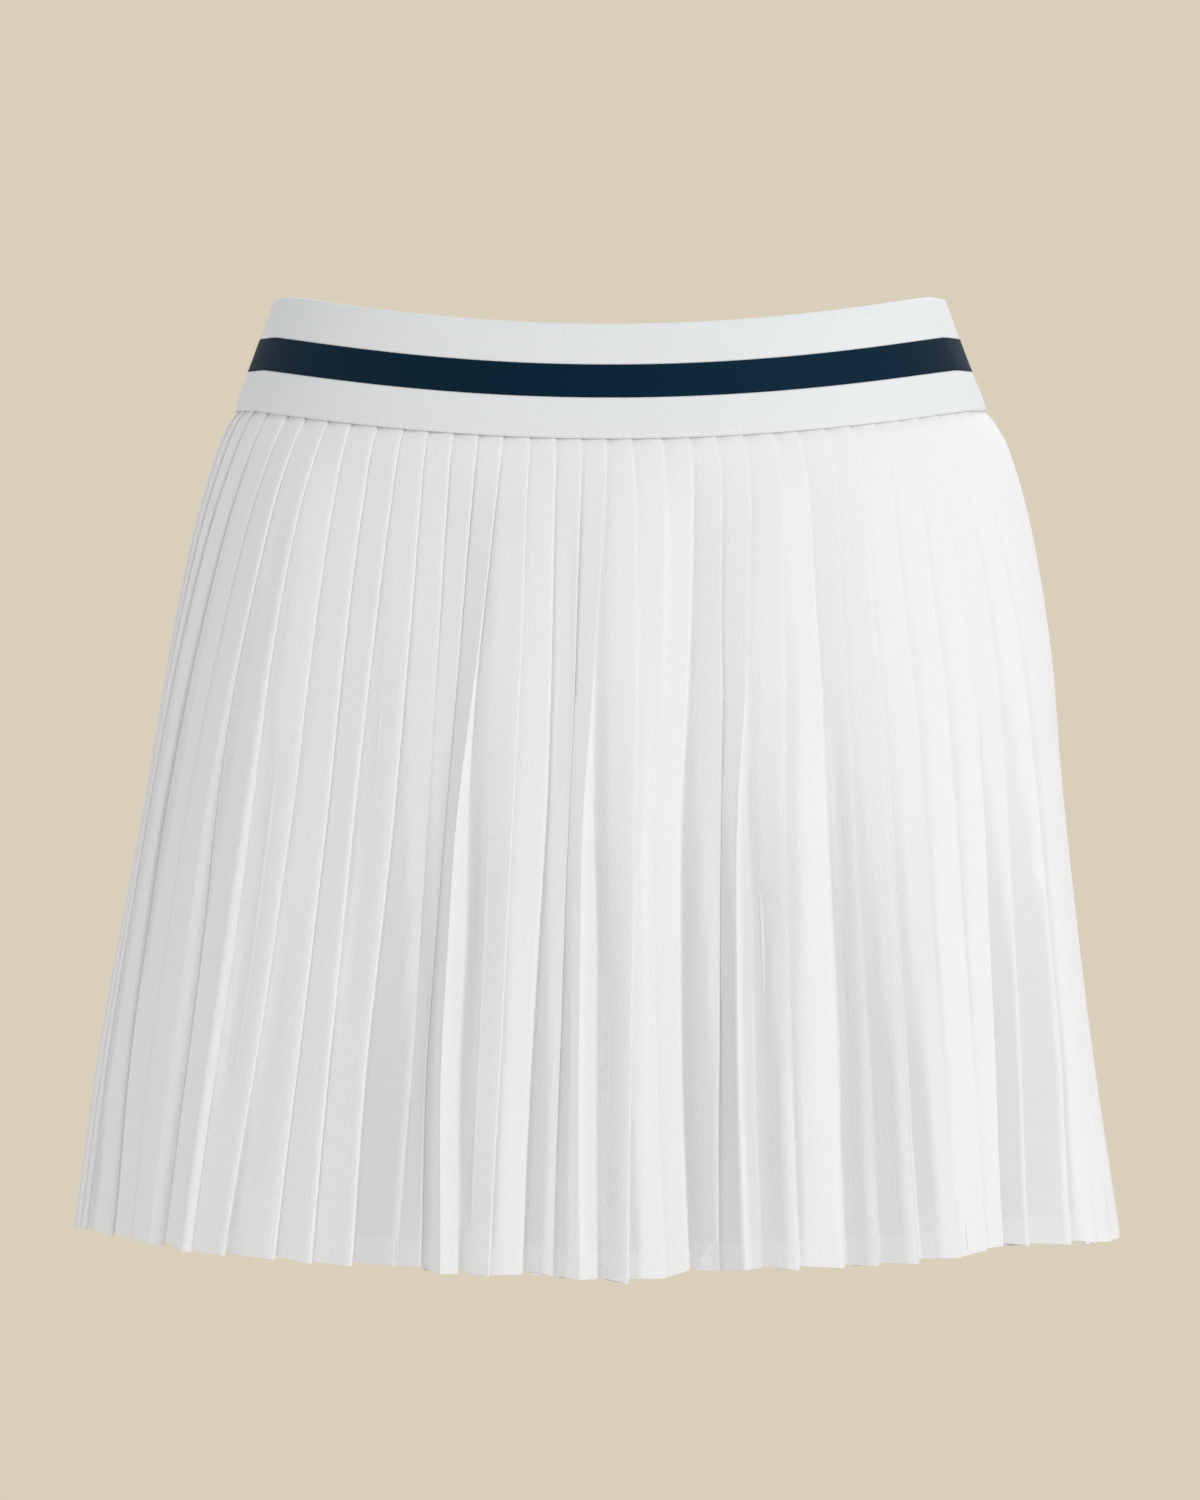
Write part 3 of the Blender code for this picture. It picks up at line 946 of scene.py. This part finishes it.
@dataclass(frozen=True)
class PleatedSkirt:
    """The two panels of knife pleats, each fold lying over the next face to its right.

    A fold's points run over its face, round the fold and over what is tucked behind it: the middle and edge
    of the turned-back strip, the hidden layer's two turns and its middle, and the corner where the next face
    starts. A panel starts with the last three of these six and ends with the first three. Each pair of drops
    is where something sets in and where it is complete. A phase is how many radians further each pleat is
    along the sine that varies something.
    """

    pleats: int = 36
    tuck: float = 8.5
    seam_drop: float = 46.5
    hem_drop: float = 384.0
    puff_end: float = 51.0
    band_clear: float = 1.45
    step_at_seam: float = 1.0
    step_at_hem: float = 1.8
    undercut: float = 0.4
    knots: tuple[float, ...] = (50.0, 110.0, 200.0, 300.0, 384.0)
    knot_blend: tuple[float, ...] = (-20.0, -10.0, 0.0, 10.0, 20.0)
    opens: tuple[float, float] = (55.0, 310.0)
    strips: tuple[float, float] = (120.0, 260.0)
    bares: tuple[float, float] = (140.0, 330.0)
    bare_full: float = 10.0
    hips: tuple[float, ...] = (50.0, 80.0, 200.0, 320.0)
    strip_steepness: float = 0.9
    layers_apart: float = 0.9
    cloth_per_pleat: float = 33.75
    underlay_share: float = 0.85
    cloth: float = 0.25
    hem_cloth: float = 0.5
    hem_rows: int = 4
    hem_turn: float = 11.0
    hem_step: float = 1.2
    hem_step_vary: float = 0.5
    hem_step_phase: float = 2.4
    face_shares: tuple[float, ...] = (0.08, 0.24, 0.42, 0.62, 0.82)
    face_end: float = 0.44
    fold_place: float = 0.455
    tucked_places: tuple[float, ...] = (0.48, 0.60, 0.72, 0.74, 0.87, 1.0)
    face_crown: float = 0.25
    crown_phases: tuple[float, float] = (1.7, 5.0)
    roll_at_seam: float = 0.75
    roll_at_hem: float = 1.0
    seam_dent: float = 0.25
    seam_dent_vary: float = 0.3
    seam_dent_phase: float = 2.1
    seam_dent_width: float = 0.65
    seam_dent_end: float = 64.0
    fades: tuple[float, float] = (70.0, 200.0)
    relief: float = 1.25
    crease_reach: float = 0.4
    crease_starts: float = 60.0
    crease_ends: float = 30.0
    backing_edge: float = 3.0
    hem_backing: float = 0.22
    seam_backing: float = 0.6
    returns: tuple[float, float] = (200.0, 300.0)

    def row_drops(self) -> list[float]:
        """Spaces the rows, closer together at the hem's turn-up and below the band.

        Returns:
            Their drops, from the hem up.
        """
        turn = self.hem_drop - self.hem_turn
        hem = [self.hem_drop, self.hem_drop - 3, self.hem_drop - 7, turn + 0.3, turn - 0.3]
        body = np.linspace(turn - 5, 82, 55)
        seam = [78, 74, 70.5, 67.5, 64.5, 62, 59.5, 57.5, 55.5, 53.5, 52, 50.5, 49, 47.7, 46.4, 43.5]
        return [*hem, *body, *seam, self.seam_drop - self.tuck]

    def drift(self, fall: dict[str, np.ndarray], drop: float) -> np.ndarray:
        """How far each fold strays sideways, eased round the five drops where it is known.

        Args:
            fall: The panel's pleats, as columns.
            drop: The drop.

        Returns:
            Millimetres to the right, for each fold.
        """
        known = np.stack([fall[name] for name in ("seam", "high", "middle", "low", "hem")], axis=1)
        near = [drop + step for step in self.knot_blend]
        return np.array([np.interp(near, self.knots, row).mean() for row in known])

    def on_panel(self, k: int, tucked: Sequence) -> list:
        """Those of a fold's six tucked points that its panel has."""
        return [*(tucked[3:] if k == 0 else tucked[:3] if k == self.pleats else tucked)]

    def panel_row(self, fall: dict[str, np.ndarray], creases: Sequence[Crease], drop: float) -> np.ndarray:
        """Works out one row of a panel.

        Args:
            fall: The panel's pleats, as columns.
            creases: The panel's creases.
            drop: The row's drop.

        Returns:
            The distance along the outline, the distance out, the lift, and how far each point is spared the
            painted shade of a lone layer.
        """
        pitch = Outline.half_round(drop) / self.pleats
        number = fall["number"]
        down = max(0.0, (drop - self.seam_drop) / (self.hem_drop - self.seam_drop))
        spread = np.clip((drop - self.opens[0]) / (self.opens[1] - self.opens[0]), 0.0, 1.0)
        opened, shade_reached = smooth(drop, *self.strips), smooth(drop, *self.bares)
        returned = np.where(fall["fade"] < 0, smooth(drop, *self.returns), 0.0)
        crisp = 1.0 - np.abs(fall["fade"]) * smooth(drop, *self.fades) * (1.0 - returned)
        step = (self.step_at_seam + (self.step_at_hem - self.step_at_seam) * down) * crisp
        roll = (self.roll_at_seam + (self.roll_at_hem - self.roll_at_seam) * down) * (0.5 + 0.5 * crisp)

        ridge = number * pitch + self.drift(fall, drop)
        hips = smooth(drop, *self.hips[:2]) * (1.0 - smooth(drop, *self.hips[2:]))
        out = fall["out"] * self.relief * spread + fall["bulge"] * hips
        sink = fall["sink"] * self.relief * math.sqrt(spread)
        strip = fall["strip"] * opened
        start = ridge + strip - self.undercut * (1.0 - np.minimum(strip, 1.0))
        start_out = out - step - sink - strip * self.strip_steepness

        hang = down**3
        low = fall["rise"] * hang
        hem_step = self.hem_step + self.hem_step_vary * np.sin(self.hem_step_phase * number)
        high = low + hem_step * crisp * hang

        columns = []
        for k in range(self.pleats + 1):
            width = ridge[k] - start[k - 1] if k else pitch
            face_start = start_out[k - 1] if k else -step[0]
            slope = (out[k] - face_start) / width
            under = min((self.cloth_per_pleat - pitch) / 2, self.underlay_share * width)
            if k:
                before = high[k - 1]
                # Painted shade: each face is painted greyer from its start to where the layer behind it
                # begins, further where the table's reach says, and less near the seam.
                edge = width - under + fall["bare"][k] * shade_reached
                for share in self.face_shares:
                    swell = self.face_swell(creases, k, share, drop, down)
                    layer_shade = smooth(share * width, edge - self.backing_edge, edge)
                    layer_shade += (1.0 - layer_shade) * self.seam_backing * (1.0 - shade_reached)
                    along = start[k - 1] + share * width
                    stands = face_start + slope * share * width + swell
                    columns.append((along, stands, before + (low[k] - before) * share, layer_shade))
                columns.append((ridge[k] - roll[k], out[k] - slope * roll[k], low[k], 1.0))
                columns.append((ridge[k] - 0.45 * roll[k], out[k] - 0.2 * step[k], low[k], 1.0))
            inner = face_start + slope * (width - under)
            apart = max(step[k], self.layers_apart)
            strip_out = out[k] - 0.6 * (step[k] + sink[k]) - self.strip_steepness * strip[k] / 2
            valley = step[k] + sink[k] + self.strip_steepness * strip[k]
            rise = high[k] - low[k]
            # Painted shade: an opened strip is painted greyer by its pleat's reach.
            strip_layer_shade = 1.0 - opened * np.clip(fall["bare"][k] / self.bare_full, 0.0, 1.0)
            strip_edge, corner = (ridge[k] + strip[k] + share * roll[k] for share in (0.1, 0.25))
            turn, middle = ridge[k] - under, (inner + out[k]) / 2
            tucked = [
                (ridge[k] + strip[k] / 2, strip_out, low[k], strip_layer_shade),
                (strip_edge, out[k] - 0.95 * valley, low[k] + 0.05 * rise, strip_layer_shade),
                (turn, inner - 0.6 * apart, low[k] + 0.6 * rise, 1.0),
                (turn, inner - 0.98 * apart - 0.15 * sink[k], low[k] + 0.7 * rise, 1.0),
                (ridge[k] - under / 2, middle - 1.05 * apart - 0.65 * sink[k], low[k] + 0.85 * rise, 1.0),
                (corner, out[k] - valley, high[k], 1.0),
            ]
            columns += self.on_panel(k, tucked)
        return np.array(columns).T

    def face_swell(self, creases: Sequence[Crease], k: int, share: float, drop: float, down: float) -> float:
        """How far a face stands out of flat at one point.

        Args:
            creases: The panel's creases.
            k: The face's pleat.
            share: Where on the face, from 0 at its start to 1 at its fold.
            drop: The drop.
            down: The drop as a share of the skirt.

        Returns:
            Millimetres out, for a faint crown, the face's creases and the dent below the seam.
        """
        by_pleat, by_drop = self.crown_phases
        swell = self.face_crown * math.sin(by_pleat * k + by_drop * down) * math.sin(math.pi * share) * down
        for crease in creases:
            if crease.number == k:
                shown = smooth(drop, crease.start, crease.start + self.crease_starts)
                shown = shown * (1 - smooth(drop, crease.end - self.crease_ends, crease.end))
                swell += crease.depth * shown * max(0.0, 1 - abs(share - crease.at) / self.crease_reach)
        vary = self.seam_dent_vary
        dent = self.seam_dent * (1.0 - vary + vary * math.sin(self.seam_dent_phase * k))
        near = 1.0 - smooth(drop, self.seam_drop, self.seam_dent_end)
        return swell - dent * near * (1.0 - smooth(share, 0.0, self.seam_dent_width * near + 0.05))

    def flat_columns(self) -> np.ndarray:
        """Spaces the columns over the flat cloth.

        Returns:
            How far across it each one lies, in millimetres.
        """
        face = [*(share * self.face_end for share in self.face_shares), self.face_end, self.fold_place]
        columns = []
        for k in range(self.pleats + 1):
            places = (face if k else []) + self.on_panel(k, self.tucked_places)
            columns += [(k + place) * self.cloth_per_pleat for place in places]
        return np.array(columns)

    def make_panel(self, panel: Panel, material: Material) -> Object:
        """Builds and dresses one panel.

        Args:
            panel: Which panel.
            material: Its finish.

        Returns:
            The object.
        """
        name, node, turn, table, creases = panel.value
        names = [field.name for field in fields(Pleat)]
        fall = {name: np.array([getattr(row, name) for row in table], float) for name in names}
        across = self.flat_columns()
        points, flat, shade_spared = [], [], []
        for drop in self.row_drops():
            distance, out, lift, layer_shade = self.panel_row(fall, creases, drop)
            # The hem's turn-up gets less painted shade, since the cloth there is doubled.
            hem_cut = self.hem_backing if drop > self.hem_drop - self.hem_turn else 0.0
            shade_spared.append(layer_shade + (1.0 - layer_shade) * hem_cut)
            inset = self.band_clear * (1.0 - smooth(drop, self.seam_drop, self.puff_end))
            angles = Outline.angles_at(drop, distance) + turn
            points.append(Outline.place(drop, angles, out - inset, lift))
            flat.append(flat_row(across, self.hem_drop - drop))
        wall = Wall(self.hem_cloth, self.cloth / self.hem_cloth, self.hem_rows)
        piece = make_sheet(name, np.array(points), np.array(flat), wall, np.array(shade_spared))
        dress(piece, material, node)
        return piece


# --- The inner shorts ---


@dataclass(frozen=True)
class LegLevel:
    """One level of the shorts: half the body's or leg's width and depth, and the gap between the legs."""

    drop: float
    half_width: float
    half_depth: float
    parting: float


class Leg(Enum):
    """The shorts' two legs: the name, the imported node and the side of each."""

    LEFT = ("shorts_leg_left", "shorts_left", 1)
    RIGHT = ("shorts_leg_right", "shorts_right", -1)


@dataclass(frozen=True)
class InnerShorts:
    """The jersey shorts: one sheet for each leg, open to the centre seam above the crotch."""

    levels: tuple[LegLevel, ...] = (
        LegLevel(38, 149.7, 95.5, 0.0),
        LegLevel(43, 147.4, 92.0, 0.0),
        LegLevel(48, 148.4, 93.2, 0.0),
        LegLevel(62, 152.0, 97, 0.0),
        LegLevel(95, 159.5, 105, 0.0),
        LegLevel(130, 165.0, 111, 0.0),
        LegLevel(172, 167.5, 114, 0.0),
        LegLevel(236, 168.0, 100, 0.0),
        LegLevel(285, 168.0, 92, 8.0),
        LegLevel(331, 168.0, 88, 14.0),
    )
    crotch_start: float = 172.0
    crotch: float = 236.0
    clear: float = 0.15
    sides: int = 96
    rows: int = 60
    cloth: float = 0.6
    hem_cloth: float = 1.2
    hem_rows: int = 4
    hem_turn: float = 20.0
    flare: float = 45.0
    flat_width: float = 560.0
    flat_length: float = 300.0
    area: float = 0.15

    def leg_row(self, drop: float, side: int) -> np.ndarray:
        """One row of a leg, from the front of the centre seam, round the outer side, to its back.

        Args:
            drop: The row's drop.
            side: 1 for the wearer's left leg and -1 for the right.

        Returns:
            A row of points in millimetres.
        """
        level = level_at(self.levels, drop)
        outline = Outline.at(drop)
        parted = min(max((drop - self.crotch_start) / (self.crotch - self.crotch_start), 0.0), 1.0)
        if drop < self.crotch:
            radius = level.half_width / (1.0 + parted)
            centre = level.half_width - radius
            start = math.acos((centre - self.clear) / radius)
        else:
            inner = self.clear + level.parting / 2
            radius = (level.half_width - inner) / 2
            centre = inner + radius
            start = 0.0
        angles = np.linspace(start, math.tau - start, self.sides + 1)
        ahead = np.sin(angles)
        dip = np.where(ahead > 0, outline.front_dip, outline.back_dip)
        held = dip * ahead * ahead * (1.0 - parted)
        x = side * (centre - radius * np.cos(angles))
        row = np.stack([x, outline.back / 2 - level.half_depth * ahead, -drop - held], axis=-1)
        return row if side > 0 else row[::-1]

    def make_leg(self, leg: Leg, material: Material) -> Object:
        """Builds and dresses one leg.

        Args:
            leg: Which leg.
            material: Its finish.

        Returns:
            The object.
        """
        name, node, side = leg.value
        top, bottom = self.levels[0].drop, self.levels[-1].drop
        turn = bottom - self.hem_turn
        hem = [bottom, bottom - 7, bottom - 14, turn + 0.4, turn - 0.4]
        drops = [*hem, *np.linspace(turn - 5, self.flare, self.rows), *np.linspace(self.flare - 2, top, 4)]
        around = np.linspace(0.0, self.flat_width, self.sides + 1)
        rows = [self.leg_row(drop, side) for drop in drops]
        flat = [flat_row(around, bottom - drop) for drop in drops]
        wall = Wall(self.hem_cloth, self.cloth / self.hem_cloth, self.hem_rows)
        piece = make_sheet(name, np.array(rows), np.array(flat), wall)
        dress(piece, material, node)
        return piece


# --- The studio ---


@dataclass(frozen=True)
class SoftLight:
    """One square area light: its name, its power in watts and its place in metres."""

    name: str
    power: float
    place: tuple[float, float, float]


@dataclass(frozen=True)
class Studio:
    """A plain pale floor and backdrop, a soft key light from the wearer's left, weaker lights opposite and
    behind, and the camera, four metres in front and level with the garment's middle. Its sizes are in
    metres, but for the camera's lens and sensor."""

    backdrop: str = "#dacfbb"
    floor_roughness: float = 0.9
    floor_drop: float = 1.6
    floor_size: float = 12.0
    camera_place: tuple[float, float, float] = (-0.0041, -4.0, -0.186)
    lens: float = 234.1
    sensor: float = 36.0
    sky: str = "#fbfdff"
    fill: float = 0.605
    lean: tuple[float, float, float] = (0.18, 0.0, 0.10)
    lights: tuple[SoftLight, ...] = (
        SoftLight("key", 66.0, (2.35, -2.7, 0.7)),
        SoftLight("side", 32.0, (-3.5, -0.95, -0.1)),
        SoftLight("back", 52.0, (0.8, 2.6, 2.6)),
    )
    light_size: float = 1.6
    light_aim: tuple[float, float, float] = (0.0, 0.0, -0.2)

    def make_world(self) -> None:
        """Lights everything with soft neutral light, a little stronger from above and from the wearer's
        left, and shows the pale backdrop behind."""
        world = bpy.data.worlds.new("studio")
        bpy.context.scene.world = world
        world.use_nodes = True
        tree = world.node_tree
        tree.nodes.clear()
        seen = add_node(tree, "ShaderNodeLightPath")
        plain = {"Color": linear_colour(self.backdrop), "Strength": 1.0}
        shown = add_node(tree, "ShaderNodeBackground", plain)
        around = add_node(tree, "ShaderNodeTexCoord").outputs["Generated"]
        along = {"operation": "DOT_PRODUCT", 1: self.lean}
        lean = add_node(tree, "ShaderNodeVectorMath", along, {0: around}).outputs["Value"]
        scaled = {"operation": "MULTIPLY_ADD", 1: self.fill, 2: self.fill}
        strength = add_node(tree, "ShaderNodeMath", scaled, {0: lean}).outputs["Value"]
        sky = {"Color": linear_colour(self.sky)}
        light = add_node(tree, "ShaderNodeBackground", sky, {"Strength": strength})
        mixed = add_node(
            tree,
            "ShaderNodeMixShader",
            links={0: seen.outputs["Is Camera Ray"], 1: light.outputs[0], 2: shown.outputs[0]},
        )
        add_node(tree, "ShaderNodeOutputWorld", links={"Surface": mixed.outputs[0]})

    def make_floor(self) -> None:
        """Builds the plain pale floor."""
        bm = bmesh.new()
        bmesh.ops.create_grid(bm, x_segments=1, y_segments=1, size=self.floor_size / 2)
        bmesh.ops.translate(bm, vec=(0, 0, -self.floor_drop), verts=bm.verts)
        floor = add_mesh("floor", bm)
        material, _ = plain_material("pale_floor", self.backdrop, self.floor_roughness)
        floor.data.materials.append(material)

    def make_light(self, light: SoftLight) -> None:
        """Adds one light, aimed at the garment's middle.

        Args:
            light: Which light.
        """
        data = bpy.data.lights.new(light.name, "AREA")
        data.shape = "SQUARE"
        data.size = self.light_size
        data.energy = light.power
        lamp = add_object(light.name, data)
        lamp.location = light.place
        aim = Vector(self.light_aim) - Vector(light.place)
        lamp.rotation_euler = aim.to_track_quat("-Z", "Y").to_euler()

    def make_camera(self) -> None:
        """Adds the camera, looking level at the front."""
        data = bpy.data.cameras.new("camera")
        data.lens = self.lens
        data.sensor_width = self.sensor
        data.clip_end = 100.0
        camera = add_object("camera", data)
        camera.location = self.camera_place
        camera.rotation_euler = (math.pi / 2, 0.0, 0.0)
        bpy.context.scene.camera = camera

    def make(self) -> None:
        """Builds the whole studio."""
        bpy.context.scene.view_settings.view_transform = "Standard"
        self.make_world()
        self.make_floor()
        for light in self.lights:
            self.make_light(light)
        self.make_camera()


# --- The build ---


def report(piece: Object) -> Object:
    """Logs a finished piece's name and face count, and hands it back."""
    LOG.info("%s: %d faces", piece.name, len(piece.data.polygons))
    return piece


def main() -> None:
    """Builds the garment from the waist down, then the studio round it."""
    logging.basicConfig(level=logging.INFO, format="%(name)s: %(message)s")
    band = Waistband()
    elastic = report(band.make_elastic(ElasticFinish()))
    stripe = report(band.make_stripe(TwillFinish()))
    stitches = report(band.make_stitches(ThreadFinish()))
    girth = band.girth * MM

    skirt = PleatedSkirt()
    poplin = PoplinFinish().make()
    for panel in Panel:
        piece = report(skirt.make_panel(panel, poplin))

    shorts = InnerShorts()
    jersey = JerseyFinish().make()
    for leg in Leg:
        piece = report(shorts.make_leg(leg, jersey))

    Studio().make()


if __name__ == "__main__":
    main()
